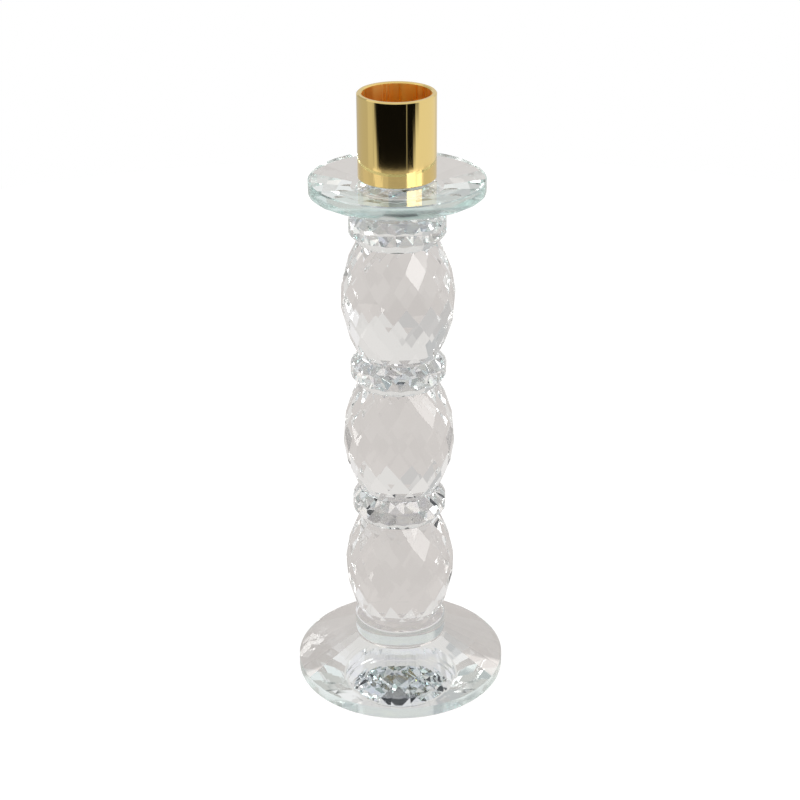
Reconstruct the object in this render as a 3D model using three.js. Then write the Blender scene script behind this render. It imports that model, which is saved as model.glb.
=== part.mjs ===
// Cut crystal candlestick: a clear glass foot, a column of faceted balls and rondelles, a drip plate
// and a gold-plated candle cup, all stacked on one axis and bonded face to face with clear adhesive.
// Millimetres, +Z up. The origin is the centre of the foot's underside, on the table.

import * as THREE from "three";
import { ConvexGeometry } from "three/addons/geometries/ConvexGeometry.js";

// ---------------------------------------------------------------- driving dimensions

const BALL_DIAMETER = 40; // across opposite corners of its widest rings
const BALL_HEIGHT = 42; // from flat to flat
const BALL_FACETS = 14; // kites in each row around the ball
const BALL_RING_HEIGHTS = [3, 9, 15, BALL_HEIGHT / 2]; // corner rings above the middle

const RONDELLE_DIAMETER = 34;
const RONDELLE_HEIGHT = 11;
const RONDELLE_FACETS = 18;
const RONDELLE_BAND = 4; // height of the upright edges of its middle row
const RONDELLE_FLAT_RADIUS = 14.2; // corners of its two flats

const WALL_SIDES = 160; // sides that stand for the round walls of the foot and the drip plate

const FOOT_FACETS = 32; // sloping flats cut round its upper side
const FOOT_DIAMETER = 77.4;
const FOOT_WALL = 4.4; // upright round edge of the foot, at the middle of a flat
const FOOT_HEIGHT = 16;
const FOOT_TOP_RADIUS = 17.2; // corners of the flat on top of the cone

const COLLAR_DIAMETER = 33.8;
const COLLAR_HEIGHT = 7;

const PLATE_FACETS = 20; // sloping flats cut round its underside
const PLATE_DIAMETER = 60.5;
const PLATE_HEIGHT = 11;
const PLATE_WALL = 4.4; // upright round edge of the plate, at the middle of a flat
const PLATE_NECK_RADIUS = 16; // corners of the flat under the plate

const CUP_DIAMETER = 26.8;
const CUP_BORE = 23.3; // takes the butt of a 22 mm taper candle
const CUP_HEIGHT = 29.3;
const CUP_FLOOR = 1.8;

const EDGE_CHAMFER = 0.4; // ground edges of the round pieces
const BOND_THICKNESS = 0.2; // cured adhesive in each joint
const BOND_MARGIN = 0.35; // the adhesive stops this far short of the smaller flat's edge
const ROUND_SEGMENTS = 72; // sides that stand for a true circle

// Each piece is turned a little about the column, as it was glued. Degrees.
const FOOT_TURN = 180 / FOOT_FACETS; // a flat, not a corner, faces each way along the axes
const PLATE_TURN = 1.8;
const BALL_TURNS = [2.3, 13, 21]; // from the lowest ball up
const RONDELLE_TURNS = [6, 2, 8];

// ---------------------------------------------------------------- materials

const GLASS = { color: 0xeef4f2, roughness: 0.02, metalness: 0 };
const ADHESIVE = { color: 0xf6f8f8, roughness: 0.05, metalness: 0 };
const GOLD_PLATE = { color: 0xd2a64e, roughness: 0.28, metalness: 1 };

function materialOf(look) {
  const material = new THREE.MeshStandardMaterial(look);
  if (look !== GOLD_PLATE) {
    material.transparent = true;
    material.opacity = 0.35;
  }
  return material;
}

// ---------------------------------------------------------------- shapes

// A ring of corners: one point every 1/count of a turn, starting at a phase of 0 or half a step.
function ringOfCorners(count, radius, height, phase) {
  const points = [];
  for (let i = 0; i < count; i += 1) {
    const angle = ((i + phase) / count) * 2 * Math.PI;
    points.push(new THREE.Vector3(radius * Math.cos(angle), radius * Math.sin(angle), height));
  }
  return points;
}

// A profile of [radius, height] points, starting and ending on the axis, turned about +Z.
function turned(profile, segments) {
  const points = profile.map(([radius, height]) => new THREE.Vector2(radius, height));
  return new THREE.LatheGeometry(points, segments).rotateX(Math.PI / 2);
}

// Corner rings of the upper half of a ball. Each kite has its waist on one ring and its two tips on
// the rings above and below, and it is flat when the middle of its waist lies between the two tips.
function ballRings() {
  const radius = BALL_DIAMETER / 2;
  const waist = Math.cos(Math.PI / BALL_FACETS);
  const rings = [
    { height: -BALL_RING_HEIGHTS[0], radius },
    { height: BALL_RING_HEIGHTS[0], radius },
  ];
  for (const height of BALL_RING_HEIGHTS.slice(1)) {
    const [below, middle] = rings.slice(-2);
    const slope = (middle.radius * waist - below.radius) / (middle.height - below.height);
    rings.push({ height, radius: below.radius + slope * (height - below.height) });
  }
  return rings.slice(1);
}

// A taller-than-wide ball of kite facets, with a round of triangles against each flat.
function ballGeometry() {
  const corners = [];
  ballRings().forEach(({ height, radius }, level) => {
    const phase = (level % 2) / 2;
    corners.push(...ringOfCorners(BALL_FACETS, radius, height, phase));
    corners.push(...ringOfCorners(BALL_FACETS, radius, -height, 0.5 - phase));
  });
  return new ConvexGeometry(corners);
}

// A bead with a middle row of upright hexagons, and a sloping row above and below it.
function rondelleGeometry() {
  const radius = RONDELLE_DIAMETER / 2;
  const half = RONDELLE_HEIGHT / 2;
  const waist = Math.cos(Math.PI / RONDELLE_FACETS);
  const side = RONDELLE_BAND / 2;
  const slope = (radius - RONDELLE_FLAT_RADIUS * waist) / (half - side);
  const peak = side + (radius * (1 - waist * waist)) / slope;
  const corners = [];
  for (const sign of [1, -1]) {
    corners.push(...ringOfCorners(RONDELLE_FACETS, radius, sign * side, 0));
    corners.push(...ringOfCorners(RONDELLE_FACETS, radius * waist, sign * peak, 0.5));
    corners.push(...ringOfCorners(RONDELLE_FACETS, RONDELLE_FLAT_RADIUS, sign * half, 0.5));
  }
  return new ConvexGeometry(corners);
}

// A round disc whose upper side is cut in flats that slope up to a small level flat. Each flat is a
// plane, so it meets the round wall in an arc that rises a little towards the flat's two ends.
function cutDiscGeometry(facets, diameter, wall, height, flatRadius) {
  const radius = diameter / 2;
  const arcSteps = WALL_SIDES / facets;
  const waist = Math.cos(Math.PI / facets);
  const slope = (height - wall) / (radius - flatRadius * waist);
  const corners = [
    ...ringOfCorners(WALL_SIDES, radius - EDGE_CHAMFER, 0, 0),
    ...ringOfCorners(WALL_SIDES, radius, EDGE_CHAMFER, 0),
    ...ringOfCorners(facets, flatRadius, height, 0),
  ];
  ringOfCorners(WALL_SIDES, radius, wall, 0).forEach((point, i) => {
    const offMiddle = ((i % arcSteps) / arcSteps - 0.5) * ((2 * Math.PI) / facets);
    point.z = wall + slope * radius * (1 - Math.cos(offMiddle));
    corners.push(point);
  });
  return new ConvexGeometry(corners);
}

function footGeometry() {
  return cutDiscGeometry(FOOT_FACETS, FOOT_DIAMETER, FOOT_WALL, FOOT_HEIGHT, FOOT_TOP_RADIUS);
}

function collarGeometry() {
  const radius = COLLAR_DIAMETER / 2;
  return turned([
    [0, 0],
    [radius - EDGE_CHAMFER, 0],
    [radius, EDGE_CHAMFER],
    [radius, COLLAR_HEIGHT - EDGE_CHAMFER],
    [radius - EDGE_CHAMFER, COLLAR_HEIGHT],
    [0, COLLAR_HEIGHT],
  ], ROUND_SEGMENTS);
}

// The same cut disc as the foot, turned over: level on top, with its flats underneath.
function plateGeometry() {
  return cutDiscGeometry(PLATE_FACETS, PLATE_DIAMETER, PLATE_WALL, PLATE_HEIGHT, PLATE_NECK_RADIUS)
    .rotateX(Math.PI)
    .translate(0, 0, PLATE_HEIGHT);
}

// A straight tube with a floor, its rim chamfered inside and out.
function cupGeometry() {
  const radius = CUP_DIAMETER / 2;
  const bore = CUP_BORE / 2;
  return turned([
    [0, 0],
    [radius - EDGE_CHAMFER, 0],
    [radius, EDGE_CHAMFER],
    [radius, CUP_HEIGHT - EDGE_CHAMFER],
    [radius - EDGE_CHAMFER, CUP_HEIGHT],
    [bore + EDGE_CHAMFER, CUP_HEIGHT],
    [bore, CUP_HEIGHT - EDGE_CHAMFER],
    [bore, CUP_FLOOR],
    [0, CUP_FLOOR],
  ], ROUND_SEGMENTS);
}

function bondGeometry(radius) {
  return turned([[0, 0], [radius, 0], [radius, BOND_THICKNESS], [0, BOND_THICKNESS]], ROUND_SEGMENTS);
}

// ---------------------------------------------------------------- the stack, from the table up

const ballFlatRadius = ballRings().at(-1).radius * Math.cos(Math.PI / BALL_FACETS);
const footFlatRadius = FOOT_TOP_RADIUS * Math.cos(Math.PI / FOOT_FACETS);
const plateFlatRadius = PLATE_NECK_RADIUS * Math.cos(Math.PI / PLATE_FACETS);
const rondelleFlatRadius = RONDELLE_FLAT_RADIUS * Math.cos(Math.PI / RONDELLE_FACETS);

const ball = (position, turn) => ({
  name: `ball_${position}`,
  geometry: ballGeometry(),
  look: GLASS,
  height: BALL_HEIGHT,
  centred: true,
  turn,
  flat: ballFlatRadius,
});

const rondelle = (position, turn) => ({
  name: `rondelle_${position}`,
  geometry: rondelleGeometry(),
  look: GLASS,
  height: RONDELLE_HEIGHT,
  centred: true,
  turn,
  flat: rondelleFlatRadius,
});

const stack = [
  {
    name: "foot",
    geometry: footGeometry(),
    look: GLASS,
    height: FOOT_HEIGHT,
    turn: FOOT_TURN,
    flat: footFlatRadius,
  },
  {
    name: "collar",
    geometry: collarGeometry(),
    look: GLASS,
    height: COLLAR_HEIGHT,
    flat: COLLAR_DIAMETER / 2 - EDGE_CHAMFER,
  },
];
["lower", "middle", "upper"].forEach((position, i) => {
  stack.push(ball(position, BALL_TURNS[i]));
  stack.push(rondelle(position, RONDELLE_TURNS[i]));
});
stack.push(
  {
    name: "drip_plate",
    geometry: plateGeometry(),
    look: GLASS,
    height: PLATE_HEIGHT,
    turn: PLATE_TURN,
    flat: plateFlatRadius,
  },
  {
    name: "candle_cup",
    geometry: cupGeometry(),
    look: GOLD_PLATE,
    height: CUP_HEIGHT,
    flat: CUP_DIAMETER / 2 - EDGE_CHAMFER,
  },
);

const candlestick = new THREE.Group();

function place(name, geometry, look, height, turn = 0) {
  const mesh = new THREE.Mesh(geometry, materialOf(look));
  mesh.name = name;
  mesh.position.z = height;
  mesh.rotation.z = THREE.MathUtils.degToRad(turn);
  candlestick.add(mesh);
}

let level = 0;
stack.forEach((piece, i) => {
  if (i > 0) {
    const radius = Math.min(stack[i - 1].flat, piece.flat) - BOND_MARGIN;
    place(`bond_under_${piece.name}`, bondGeometry(radius), ADHESIVE, level);
    level += BOND_THICKNESS;
  }
  const middle = piece.centred ? piece.height / 2 : 0;
  place(piece.name, piece.geometry, piece.look, level + middle, piece.turn);
  level += piece.height;
});

export default candlestick;
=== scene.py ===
"""Looks of the cut crystal candlestick: optical glass in ground facets, and a gold-plated cup."""
import math

import bmesh
import bpy
from mathutils import Matrix, Vector


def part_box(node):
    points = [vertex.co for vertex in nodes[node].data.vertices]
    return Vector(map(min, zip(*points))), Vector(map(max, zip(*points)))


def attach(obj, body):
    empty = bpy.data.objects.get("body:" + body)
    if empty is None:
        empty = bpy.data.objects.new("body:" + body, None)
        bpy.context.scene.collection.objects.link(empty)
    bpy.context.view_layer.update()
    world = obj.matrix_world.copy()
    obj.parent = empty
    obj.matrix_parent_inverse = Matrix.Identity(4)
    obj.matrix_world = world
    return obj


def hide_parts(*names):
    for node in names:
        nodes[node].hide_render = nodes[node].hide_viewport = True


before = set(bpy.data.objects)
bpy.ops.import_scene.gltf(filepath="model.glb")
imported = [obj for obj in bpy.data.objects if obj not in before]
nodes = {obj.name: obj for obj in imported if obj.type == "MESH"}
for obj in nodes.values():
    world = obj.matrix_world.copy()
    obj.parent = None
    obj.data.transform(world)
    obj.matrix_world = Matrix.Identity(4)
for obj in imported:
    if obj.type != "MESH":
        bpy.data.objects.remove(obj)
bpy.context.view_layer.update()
BODY = "root"

# ------------------------------------------------------------------ camera

LENS_MM = 79.2
SENSOR_MM = 36.0
CAMERA_BACK = 0.5673  # level distance from the column's axis
CAMERA_HEIGHT = 0.3862
CAMERA_PITCH = 25.88  # degrees below level
CAMERA_ROLL = 0.38  # degrees: the column leans this much to the left
CAMERA_TURN = -0.045  # degrees to the left of the axis
CAMERA_REACH = 20.0


def make_camera():
    data = bpy.data.cameras.new("camera")
    data.lens = LENS_MM
    data.sensor_width = SENSOR_MM
    data.clip_end = CAMERA_REACH
    camera = bpy.data.objects.new("camera", data)
    bpy.context.scene.collection.objects.link(camera)
    place = Matrix.Translation((0.0, -CAMERA_BACK, CAMERA_HEIGHT))
    pan = Matrix.Rotation(math.radians(CAMERA_TURN), 4, "Z")
    tilt = Matrix.Rotation(math.radians(90.0 - CAMERA_PITCH), 4, "X")
    roll = Matrix.Rotation(math.radians(-CAMERA_ROLL), 4, "Z")
    camera.matrix_world = place @ pan @ tilt @ roll
    bpy.context.scene.camera = camera


make_camera()

# ------------------------------------------------------------------ node helpers


def new_material(name):
    material = bpy.data.materials.new(name)
    material.use_nodes = True
    tree = material.node_tree
    tree.nodes.clear()
    return material, tree


def add(tree, kind, inputs=None, **settings):
    """A new node. Each input is a socket to link from, or the value of the node's own socket."""
    node = tree.nodes.new(kind)
    for key, value in settings.items():
        setattr(node, key, value)
    for key, value in (inputs or {}).items():
        if isinstance(value, bpy.types.NodeSocket):
            tree.links.new(value, node.inputs[key])
        else:
            node.inputs[key].default_value = value
    return node


def object_place(tree):
    return add(tree, "ShaderNodeTexCoord").outputs["Object"]


def height_of(tree, place):
    return add(tree, "ShaderNodeSeparateXYZ", {0: place}).outputs["Z"]


def reach_from_axis(tree, place):
    level = add(tree, "ShaderNodeVectorMath", {0: place, 1: (1.0, 1.0, 0.0)}, operation="MULTIPLY")
    reach = add(tree, "ShaderNodeVectorMath", {0: level.outputs[0]}, operation="LENGTH")
    return reach.outputs["Value"]


def angle_about_axis(tree, place):
    """Radians: 0 towards the camera, and positive towards +X, on its right."""
    axes = add(tree, "ShaderNodeSeparateXYZ", {0: place})
    front = add(tree, "ShaderNodeMath", {0: axes.outputs["Y"], 1: -1.0}, operation="MULTIPLY")
    turn = add(tree, "ShaderNodeMath", {0: axes.outputs["X"], 1: front.outputs[0]}, operation="ARCTAN2")
    return turn.outputs[0]


def noise(tree, place, scale, detail):
    node = add(tree, "ShaderNodeTexNoise", {"Vector": place, "Scale": scale, "Detail": detail})
    return node.outputs["Fac"]


def ramp(tree, value, start, end, first=0.0, last=1.0, kind="LINEAR"):
    """Goes from first to last as value goes from start to end, and stays level beyond them."""
    node = add(tree, "ShaderNodeMapRange", {
        "Value": value,
        "From Min": start,
        "From Max": end,
        "To Min": first,
        "To Max": last,
    }, interpolation_type=kind)
    return node.outputs["Result"]


def between(tree, value, low, high, soft):
    """1 where value is between low and high, with soft edges."""
    rise = ramp(tree, value, low - soft, low + soft, kind="SMOOTHSTEP")
    fall = ramp(tree, value, high - soft, high + soft, first=1.0, last=0.0, kind="SMOOTHSTEP")
    return add(tree, "ShaderNodeMath", {0: rise, 1: fall}, operation="MULTIPLY").outputs[0]


def mix_values(tree, share, first, second):
    return add(tree, "ShaderNodeMix", {0: share, 2: first, 3: second}).outputs[0]


def mix_colours(tree, share, first, second):
    return add(tree, "ShaderNodeMix", {0: share, 6: first, 7: second}, data_type="RGBA").outputs[2]


def mix_shaders(tree, share, first, second):
    return add(tree, "ShaderNodeMixShader", {0: share, 1: first, 2: second}).outputs[0]


# ------------------------------------------------------------------ sizes that the frame doesn't give

CHAMFER = 0.0004  # ground edges of the round pieces
EDGE_WALL = 0.0044  # upright edge of the foot and the plate, at the middle of a flat
FOOT_FACETS = 32
FOOT_TURN = 180.0 / FOOT_FACETS  # degrees
FOOT_TOP_RADIUS = 0.0172
PLATE_FACETS = 20
PLATE_TURN = 1.8  # degrees
PLATE_NECK_RADIUS = 0.016
CUP_WALL = 0.00175
CUP_FLOOR = 0.0018
BOND_RADIUS = 0.0136  # of the discs of glass that touch adhesive, apart from the next two
FOOT_BOND_RADIUS = 0.0165  # on the foot
PLATE_BOND_RADIUS = 0.0126  # on the plate, under the cup
SMOOTH = 240  # sides that stand for a true circle, or nearly as many where facets have to divide them
BONDED = "bonded"  # face attribute: 1 on the discs of glass that touch adhesive

# ------------------------------------------------------------------ materials

WHITE = (1.0, 1.0, 1.0, 1.0)
GLASS_IOR = 1.52
CRYSTAL_TINT = (0.75, 0.95, 0.92, 1.0)  # the colour that light takes on in the glass
PLATE_RIM = 0.0300  # the satin of the two discs starts at these radii
FOOT_RIM = 0.0385
RIM_COLOUR = (0.86, 0.97, 0.955, 1.0)
RIM_FADE = 0.0001
NOISE_LOW = 0.3  # nearly all of a noise texture lies between these two
NOISE_HIGH = 0.7
HAZE_LOW = 0.45  # only this part of it leaves the polish a little hazy
HAZE_HIGH = 0.75

GOLD_PLATE = (0.87, 0.67, 0.27, 1.0)
# painted light: a brighter gold than the plate outside, standing in for the glow of light reflected round
# the bore
BORE_GOLD_PAINTED_GLOW = (1.0, 0.74, 0.24, 1.0)
BARE_METAL = (0.93, 0.90, 0.83, 1.0)
STREAKS_PER_METRE = (900.0, 900.0, 12.0)  # fine round the cup, and long up it
BARE_UP_TO = 0.00001  # the plating starts between these heights above the cup's underside
PLATED_FROM = 0.00005


def glass_material(name, tint, rim=None):
    """Polished crystal, satin from radius rim outwards. Light goes straight through the bonded discs.

    tint is how strongly a metre of it colours light.
    """
    material, tree = new_material(name)
    place = object_place(tree)
    haze = noise(tree, place, scale=90.0, detail=4.0)
    roughness = ramp(tree, haze, HAZE_LOW, HAZE_HIGH, first=0.0, last=0.02)
    colour = WHITE
    if rim:
        on_rim = ramp(tree, reach_from_axis(tree, place), rim, rim + RIM_FADE)
        satin = ramp(tree, haze, NOISE_LOW, NOISE_HIGH, first=0.08, last=0.16)
        roughness = mix_values(tree, on_rim, roughness, satin)
        colour = mix_colours(tree, on_rim, colour, RIM_COLOUR)
    shader = add(tree, "ShaderNodeBsdfPrincipled", {
        "Base Color": colour,
        "Roughness": roughness,
        "IOR": GLASS_IOR,
        "Transmission Weight": 1.0,
    })
    joint = add(tree, "ShaderNodeAttribute", attribute_name=BONDED)
    clear = add(tree, "ShaderNodeBsdfTransparent")
    surface = mix_shaders(tree, joint.outputs["Fac"], shader.outputs[0], clear.outputs[0])
    inside = add(tree, "ShaderNodeVolumeAbsorption", {"Color": CRYSTAL_TINT, "Density": tint})
    add(tree, "ShaderNodeOutputMaterial", {"Surface": surface, "Volume": inside.outputs[0]})
    return material


def adhesive_material():
    """Clear adhesive, a little cloudy where it flowed out."""
    material, tree = new_material("clear_adhesive")
    flow = noise(tree, object_place(tree), scale=260.0, detail=2.0)
    clear = ramp(tree, flow, NOISE_LOW, NOISE_HIGH, first=0.965, last=0.995)
    colour = add(tree, "ShaderNodeCombineColor", {0: clear, 1: clear, 2: 0.985})
    shader = add(tree, "ShaderNodeBsdfTransparent", {"Color": colour.outputs[0]})
    add(tree, "ShaderNodeOutputMaterial", {"Surface": shader.outputs[0]})
    return material


def gold_material(underside, bore_radius):
    """Gold plate on turned brass: bright outside with fine upright streaks, and satin in the bore, where a
    brighter gold is a painted glow.

    underside is the height of the bonded face, which is ground bare and pale.
    """
    material, tree = new_material("gold_plate")
    place = object_place(tree)
    stretch = add(tree, "ShaderNodeMapping", {"Vector": place, "Scale": STREAKS_PER_METRE})
    streaks = noise(tree, stretch.outputs["Vector"], scale=1.0, detail=3.0)
    reach = reach_from_axis(tree, place)
    in_bore = ramp(tree, reach, bore_radius, bore_radius + CHAMFER, first=1.0, last=0.0)
    height = height_of(tree, place)
    is_bare = ramp(tree, height, underside + BARE_UP_TO, underside + PLATED_FROM, first=1.0, last=0.0)
    bright = ramp(tree, streaks, 0.0, 1.0, first=0.025, last=0.05)
    satin = ramp(tree, streaks, NOISE_LOW, NOISE_HIGH, first=0.22, last=0.45)
    roughness = mix_values(tree, in_bore, bright, satin)
    # painted glow: the bore takes the brighter gold in place of the light reflected round it
    colour = mix_colours(tree, in_bore, GOLD_PLATE, BORE_GOLD_PAINTED_GLOW)
    bump = add(tree, "ShaderNodeBump", {"Height": streaks, "Strength": 0.12, "Distance": 0.0002})
    shader = add(tree, "ShaderNodeBsdfPrincipled", {
        "Base Color": mix_colours(tree, is_bare, colour, BARE_METAL),
        "Metallic": 1.0,
        "Roughness": mix_values(tree, is_bare, roughness, satin),
        "Normal": bump.outputs["Normal"],
    })
    add(tree, "ShaderNodeOutputMaterial", {"Surface": shader.outputs[0]})
    return material


cup_low, cup_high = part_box("candle_cup")
PLATE_GLASS = glass_material("plate_glass", 4.5, PLATE_RIM)  # greenish, as seen through its edge
FOOT_GLASS = glass_material("foot_glass", 1.4, FOOT_RIM)
RONDELLE_GLASS = glass_material("rondelle_glass", 1.8)
BEAD_GLASS = glass_material("bead_glass", 0.4)
ADHESIVE = adhesive_material()
GOLD = gold_material(cup_low[2], cup_high[0] - CUP_WALL)

# ------------------------------------------------------------------ mesh helpers

SAME_POINT = 2e-6  # corners nearer than this are one corner
SAME_LEVEL = 1e-6  # a face nearer than this to a height lies at it
FLAT_ANGLE = 0.6  # degrees: the CAD triangles of one facet meet at less than this
DISC_CREASE = 3.0  # degrees: the walls are smooth below these angles, and every facet stays flat
COLLAR_CREASE = 15.0
CUP_CREASE = 30.0


def shown(name, mesh, node):
    piece = bpy.data.objects.new(name, mesh)
    bpy.context.scene.collection.objects.link(piece)
    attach(piece, BODY)
    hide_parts(node)


def mesh_of(work, name):
    mesh = bpy.data.meshes.new(name)
    work.to_mesh(mesh)
    work.free()
    return mesh


def smooth_by_angle(mesh, degrees):
    """Smooth shading, with a crease wherever two faces meet at more than these degrees."""
    mesh.shade_smooth()
    mesh.set_sharp_from_angle(angle=math.radians(degrees))


def mark_joints(mesh, low, high, radius_low, radius_high):
    """Marks the bonded discs on a piece's flats, at heights low and high, for its glass."""
    mask = mesh.attributes.new(BONDED, "FLOAT", "FACE")
    for face in mesh.polygons:
        reach = math.hypot(face.center.x, face.center.y)
        at_low = abs(face.center.z - low) < SAME_LEVEL and reach < radius_low
        at_high = abs(face.center.z - high) < SAME_LEVEL and reach < radius_high
        mask.data[face.index].value = 1.0 if at_low or at_high else 0.0


def ring(work, count, radius, height, turn=0.0):
    corners = []
    for i in range(count):
        angle = 2.0 * math.pi * i / count + math.radians(turn)
        corners.append(work.verts.new((radius * math.cos(angle), radius * math.sin(angle), height)))
    return corners


def join(work, lower, upper):
    """Faces between two rings of as many corners, or to a ring's one corner on the axis."""
    count = max(len(lower), len(upper))
    for i in range(count):
        j = (i + 1) % count
        corners = [lower[i % len(lower)], lower[j % len(lower)]]
        corners += [upper[j % len(upper)], upper[i % len(upper)]]
        work.faces.new(list(dict.fromkeys(corners)))


def lathe(name, profile):
    """A closed turned solid from (radius, height) points that start and end on the axis."""
    work = bmesh.new()
    rings = [ring(work, SMOOTH if radius else 1, radius, height) for radius, height in profile]
    for lower, upper in zip(rings, rings[1:]):
        join(work, lower, upper)
    bmesh.ops.recalc_face_normals(work, faces=work.faces)
    return mesh_of(work, name)


# ------------------------------------------------------------------ pieces


def faceted_piece(node, glass):
    """A cut stone: the CAD solid's own shape, with each facet one flat face."""
    low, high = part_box(node)
    work = bmesh.new()
    work.from_mesh(nodes[node].data)
    bmesh.ops.remove_doubles(work, verts=work.verts, dist=SAME_POINT)
    bmesh.ops.dissolve_limit(work, angle_limit=math.radians(FLAT_ANGLE), verts=work.verts, edges=work.edges)
    mesh = mesh_of(work, f"{node}_cut")
    mesh.materials.append(glass)
    mark_joints(mesh, low[2], high[2], BOND_RADIUS, BOND_RADIUS)
    shown(f"{node}_cut", mesh, node)


def cut_disc(node, glass, facets, turn, level, cut, radius, flat_radius, inner_level, inner_cut):
    """A round disc with plane facets that slope from its wall to a small flat.

    level and cut are the heights of its level side and of the small flat. inner_level and inner_cut
    are the radii of the bonded disc on each of them, 0 for none.
    """
    low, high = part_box(node)
    up = 1.0 if cut > level else -1.0
    step = 2.0 * math.pi / facets
    waist = math.cos(step / 2.0)
    slope = (abs(cut - level) - EDGE_WALL) / (radius - flat_radius * waist)
    arc_steps = round(SMOOTH / facets)
    sides = facets * arc_steps
    work = bmesh.new()
    rim = ring(work, sides, radius - CHAMFER, level, turn)
    edge = ring(work, sides, radius, level + up * CHAMFER, turn)
    arc = ring(work, sides, radius, level + up * EDGE_WALL, turn)
    for i, corner in enumerate(arc):
        off_middle = ((i % arc_steps) / arc_steps - 0.5) * step
        corner.co.z += up * slope * radius * (1.0 - math.cos(off_middle))
    flat = ring(work, facets, flat_radius, cut, turn)
    join(work, rim, edge)
    join(work, edge, arc)
    for i in range(facets):
        lip = [arc[(i * arc_steps + k) % sides] for k in range(arc_steps + 1)]
        work.faces.new(lip + [flat[(i + 1) % facets], flat[i]])
    for outer, height, inner in ((rim, level, inner_level), (flat, cut, inner_cut)):
        if inner:
            bond = ring(work, len(outer), inner, height, turn)
            join(work, outer, bond)
            outer = bond
        work.faces.new(outer)
    bmesh.ops.recalc_face_normals(work, faces=work.faces)
    mesh = mesh_of(work, f"{node}_cut")
    mesh.materials.append(glass)
    reach_low, reach_high = (inner_level, inner_cut) if up > 0 else (inner_cut, inner_level)
    mark_joints(mesh, low[2], high[2], reach_low, reach_high)
    smooth_by_angle(mesh, DISC_CREASE)
    shown(f"{node}_cut", mesh, node)


def make_foot():
    low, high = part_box("foot")
    cut_disc("foot", FOOT_GLASS, FOOT_FACETS, FOOT_TURN, level=low[2], cut=high[2], radius=high[0],
             flat_radius=FOOT_TOP_RADIUS, inner_level=0.0, inner_cut=FOOT_BOND_RADIUS)


def make_collar():
    low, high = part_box("collar")
    radius = high[0]
    mesh = lathe("collar_cut", [
        (0.0, low[2]),
        (radius - CHAMFER, low[2]),
        (radius, low[2] + CHAMFER),
        (radius, high[2] - CHAMFER),
        (radius - CHAMFER, high[2]),
        (BOND_RADIUS, high[2]),
        (0.0, high[2]),
    ])
    mesh.materials.append(BEAD_GLASS)
    mark_joints(mesh, low[2], high[2], radius, BOND_RADIUS)
    smooth_by_angle(mesh, COLLAR_CREASE)
    shown("collar_cut", mesh, "collar")


def make_plate():
    low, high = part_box("drip_plate")
    cut_disc("drip_plate", PLATE_GLASS, PLATE_FACETS, PLATE_TURN, level=high[2], cut=low[2], radius=high[0],
             flat_radius=PLATE_NECK_RADIUS, inner_level=PLATE_BOND_RADIUS, inner_cut=BOND_RADIUS)


def make_cup():
    low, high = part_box("candle_cup")
    radius = high[0]
    bore = radius - CUP_WALL
    mesh = lathe("candle_cup_plated", [
        (0.0, low[2]),
        (radius - CHAMFER, low[2]),
        (radius, low[2] + CHAMFER),
        (radius, high[2] - CHAMFER),
        (radius - CHAMFER, high[2]),
        (bore + CHAMFER, high[2]),
        (bore, high[2] - CHAMFER),
        (bore, low[2] + CUP_FLOOR),
        (0.0, low[2] + CUP_FLOOR),
    ])
    mesh.materials.append(GOLD)
    smooth_by_angle(mesh, CUP_CREASE)
    shown("candle_cup_plated", mesh, "candle_cup")


make_foot()
make_collar()
for storey in ("lower", "middle", "upper"):
    faceted_piece(f"ball_{storey}", BEAD_GLASS)
    faceted_piece(f"rondelle_{storey}", RONDELLE_GLASS)
make_plate()
make_cup()
for name, node in nodes.items():
    if name.startswith("bond_"):
        node.data.materials.clear()
        node.data.materials.append(ADHESIVE)

# ------------------------------------------------------------------ the studio around it

ROOM = (0.745, 0.73, 0.71, 1.0)
DARK = (0.05, 0.055, 0.06)
WARM_GREY = (0.74, 0.73, 0.71)
PALE = (0.90, 0.89, 0.88)
PANEL_SOFT = 0.02  # of a panel's lower and upper edges

# Each panel is painted over the ones before it. Its left and right edges are degrees about the
# column: 0 towards the camera, positive on its right. Its lower and upper edges are heights of a
# direction, 1 straight up. Then come the softness of its sides, in degrees, and its colour.
PANELS = {
    "right_side": (66.0, 140.0, -0.6, 0.9, 4.0, (0.88, 0.87, 0.87)),
    "left_side": (-140.0, -66.0, -0.05, 0.9, 4.0, PALE),
    "left_floor": (-178.0, -67.0, -0.6, -0.05, 2.0, (0.57, 0.56, 0.55)),
    "left_strip": (-92.0, -73.0, -0.6, 0.75, 2.0, (0.67, 0.66, 0.64)),
    "dark_room": (-67.0, 66.0, -0.9, -0.20, 2.0, (0.005, 0.005, 0.006)),
    "left_lean": (-69.0, -61.0, -0.6, -0.295, 1.0, WARM_GREY),
    "left_foot": (-62.0, -55.0, -0.6, -0.315, 1.0, WARM_GREY),
    "right_lean": (55.0, 68.0, -0.6, -0.285, 1.0, PALE),
    "right_foot": (48.0, 56.0, -0.6, -0.305, 1.0, PALE),
    "thin_light": (27.0, 30.0, -0.6, -0.20, 1.0, (0.34, 0.34, 0.33)),
    "dark_camera": (-25.0, 24.0, 0.14, 0.55, 2.0, DARK),
    "softbox": (27.5, 76.0, 0.09, 0.43, 1.0, (4.4, 4.3, 4.2)),
    "ceiling": (-190.0, 190.0, 0.85, 1.2, 1.0, (0.80, 0.80, 0.80)),
    "overhead_right": (80.0, 190.0, 0.945, 1.2, 1.0, DARK),
    "overhead_left": (-190.0, -80.0, 0.945, 1.2, 1.0, DARK),
    "left_back": (-150.0, -117.0, 0.05, 0.80, 2.0, (0.50, 0.51, 0.51)),
}

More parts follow.
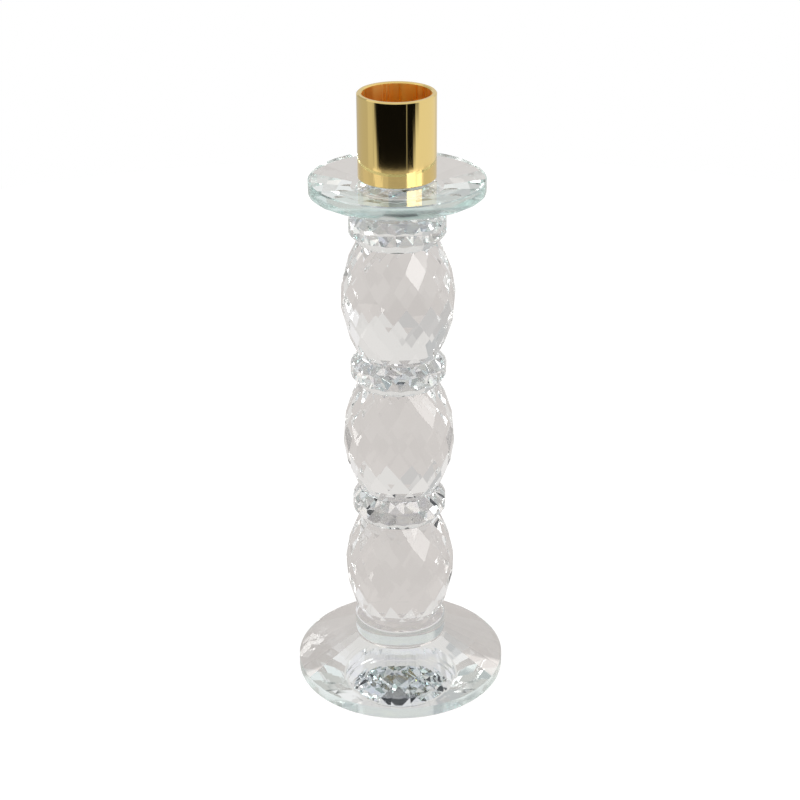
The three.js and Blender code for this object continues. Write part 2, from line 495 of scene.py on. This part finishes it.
FLOOR_RADIUS = 0.617
FLOOR_SIDES = 96
FLOOR_DROP = 0.0002  # keeps the floor clear of the foot's underside
FLOOR_PAPER = (0.25, 0.245, 0.24, 1.0)
FLOOR_GLOW = (0.44, 0.412, 0.395, 1.0)
FLOOR_WHITENING = 0.9  # glow that makes the paper look white to the camera
FLOOR_NEAR = 0.33  # the glow goes from its near gain to its far gain between these two radii
FLOOR_FAR = 0.38
SECTOR_SOFT = 2.0  # degrees
FLOOR_LIGHT_AND_SHADOW_SECTORS = [  # painted light and shade on the floor: left and right edge in degrees, and the extra glow near the column and far from it; a negative glow is painted shadow
    (-73.0, -47.0, 0.9, 1.3),
    (-44.0, 32.0, -0.05, -0.25),
    (34.0, 60.0, -0.3, 1.5),
    (60.0, 83.0, 0.9, 1.0),
]

LIGHT_PLACE = (0.95, -1.05, 0.5)
LIGHT_AIM = (0.0, 0.0, 0.12)
LIGHT_WIDTH = 0.6
LIGHT_HEIGHT = 0.4
LIGHT_WATTS = 1.5
LIGHT_BOUNCES = 48
CLEAR_LAYERS = 128  # most bonded discs and adhesive films that a ray can go through


def sector(tree, angle, left, right, soft):
    """1 between two directions about the column, all in degrees."""
    return between(tree, angle, math.radians(left), math.radians(right), math.radians(soft))


def make_world():
    """The studio as coloured panels, each by its direction. The camera itself sees white paper."""
    world = bpy.data.worlds.new("studio")
    bpy.context.scene.world = world
    world.use_nodes = True
    tree = world.node_tree
    tree.nodes.clear()
    direction = add(tree, "ShaderNodeTexCoord").outputs["Generated"]
    angle = angle_about_axis(tree, direction)
    height = height_of(tree, direction)
    colour = ROOM
    for left, right, low, high, soft, tint in PANELS.values():
        across = sector(tree, angle, left, right, soft)
        upright = between(tree, height, low, high, PANEL_SOFT)
        mask = add(tree, "ShaderNodeMath", {0: across, 1: upright}, operation="MULTIPLY")
        colour = mix_colours(tree, mask.outputs[0], colour, (*tint, 1.0))
    path = add(tree, "ShaderNodeLightPath")
    room = add(tree, "ShaderNodeBackground", {"Color": colour, "Strength": 1.0})
    paper = add(tree, "ShaderNodeBackground", {"Color": WHITE, "Strength": 1.0})
    surface = mix_shaders(tree, path.outputs["Is Camera Ray"], room.outputs[0], paper.outputs[0])
    add(tree, "ShaderNodeOutputWorld", {"Surface": surface})


def floor_material():
    """Pale paper that glows as much as the studio lights it, and looks white to the camera. Its glow is
    painted light, raised at the sides and lowered in front as a painted shadow.
    """
    material, tree = new_material("pale_paper")
    path = add(tree, "ShaderNodeLightPath")
    paper = add(tree, "ShaderNodeBsdfDiffuse", {"Color": FLOOR_PAPER})
    place = object_place(tree)
    angle = angle_about_axis(tree, place)
    is_far = ramp(tree, reach_from_axis(tree, place), FLOOR_NEAR, FLOOR_FAR)
    strength = 1.0
    # painted light and shade: each sector raises or lowers the floor's glow
    for left, right, near_gain, far_gain in FLOOR_LIGHT_AND_SHADOW_SECTORS:
        across = sector(tree, angle, left, right, SECTOR_SOFT)
        gain = mix_values(tree, is_far, near_gain, far_gain)
        lit = add(tree, "ShaderNodeMath", {0: across, 1: gain, 2: strength}, operation="MULTIPLY_ADD")
        strength = lit.outputs[0]
    glow = add(tree, "ShaderNodeEmission", {"Color": FLOOR_GLOW, "Strength": strength})
    white = add(tree, "ShaderNodeEmission", {"Color": WHITE, "Strength": FLOOR_WHITENING})
    lift = mix_shaders(tree, path.outputs["Is Camera Ray"], glow.outputs[0], white.outputs[0])
    total = add(tree, "ShaderNodeAddShader", {0: paper.outputs[0], 1: lift})
    add(tree, "ShaderNodeOutputMaterial", {"Surface": total.outputs[0]})
    return material


def make_floor():
    work = bmesh.new()
    work.faces.new(ring(work, FLOOR_SIDES, FLOOR_RADIUS, 0.0))
    mesh = mesh_of(work, "floor")
    mesh.materials.append(floor_material())
    floor = bpy.data.objects.new("floor", mesh)
    floor.location.z = -FLOOR_DROP
    bpy.context.scene.collection.objects.link(floor)


def make_light():
    data = bpy.data.lights.new("side_box", "AREA")
    data.shape = "RECTANGLE"
    data.size = LIGHT_WIDTH
    data.size_y = LIGHT_HEIGHT
    data.energy = LIGHT_WATTS
    light = bpy.data.objects.new("side_box", data)
    light.location = LIGHT_PLACE
    aim = Vector(LIGHT_AIM) - Vector(LIGHT_PLACE)
    light.rotation_euler = aim.to_track_quat("-Z", "Y").to_euler()
    bpy.context.scene.collection.objects.link(light)


def set_view():
    """Plain colours, and enough bounces for light to cross the whole stack of glass."""
    scene = bpy.context.scene
    scene.view_settings.view_transform = "Standard"
    scene.cycles.max_bounces = LIGHT_BOUNCES
    scene.cycles.transmission_bounces = LIGHT_BOUNCES
    scene.cycles.glossy_bounces = LIGHT_BOUNCES
    scene.cycles.transparent_max_bounces = CLEAR_LAYERS
    scene.cycles.caustics_reflective = True
    scene.cycles.caustics_refractive = True


make_world()
make_floor()
make_light()
set_view()
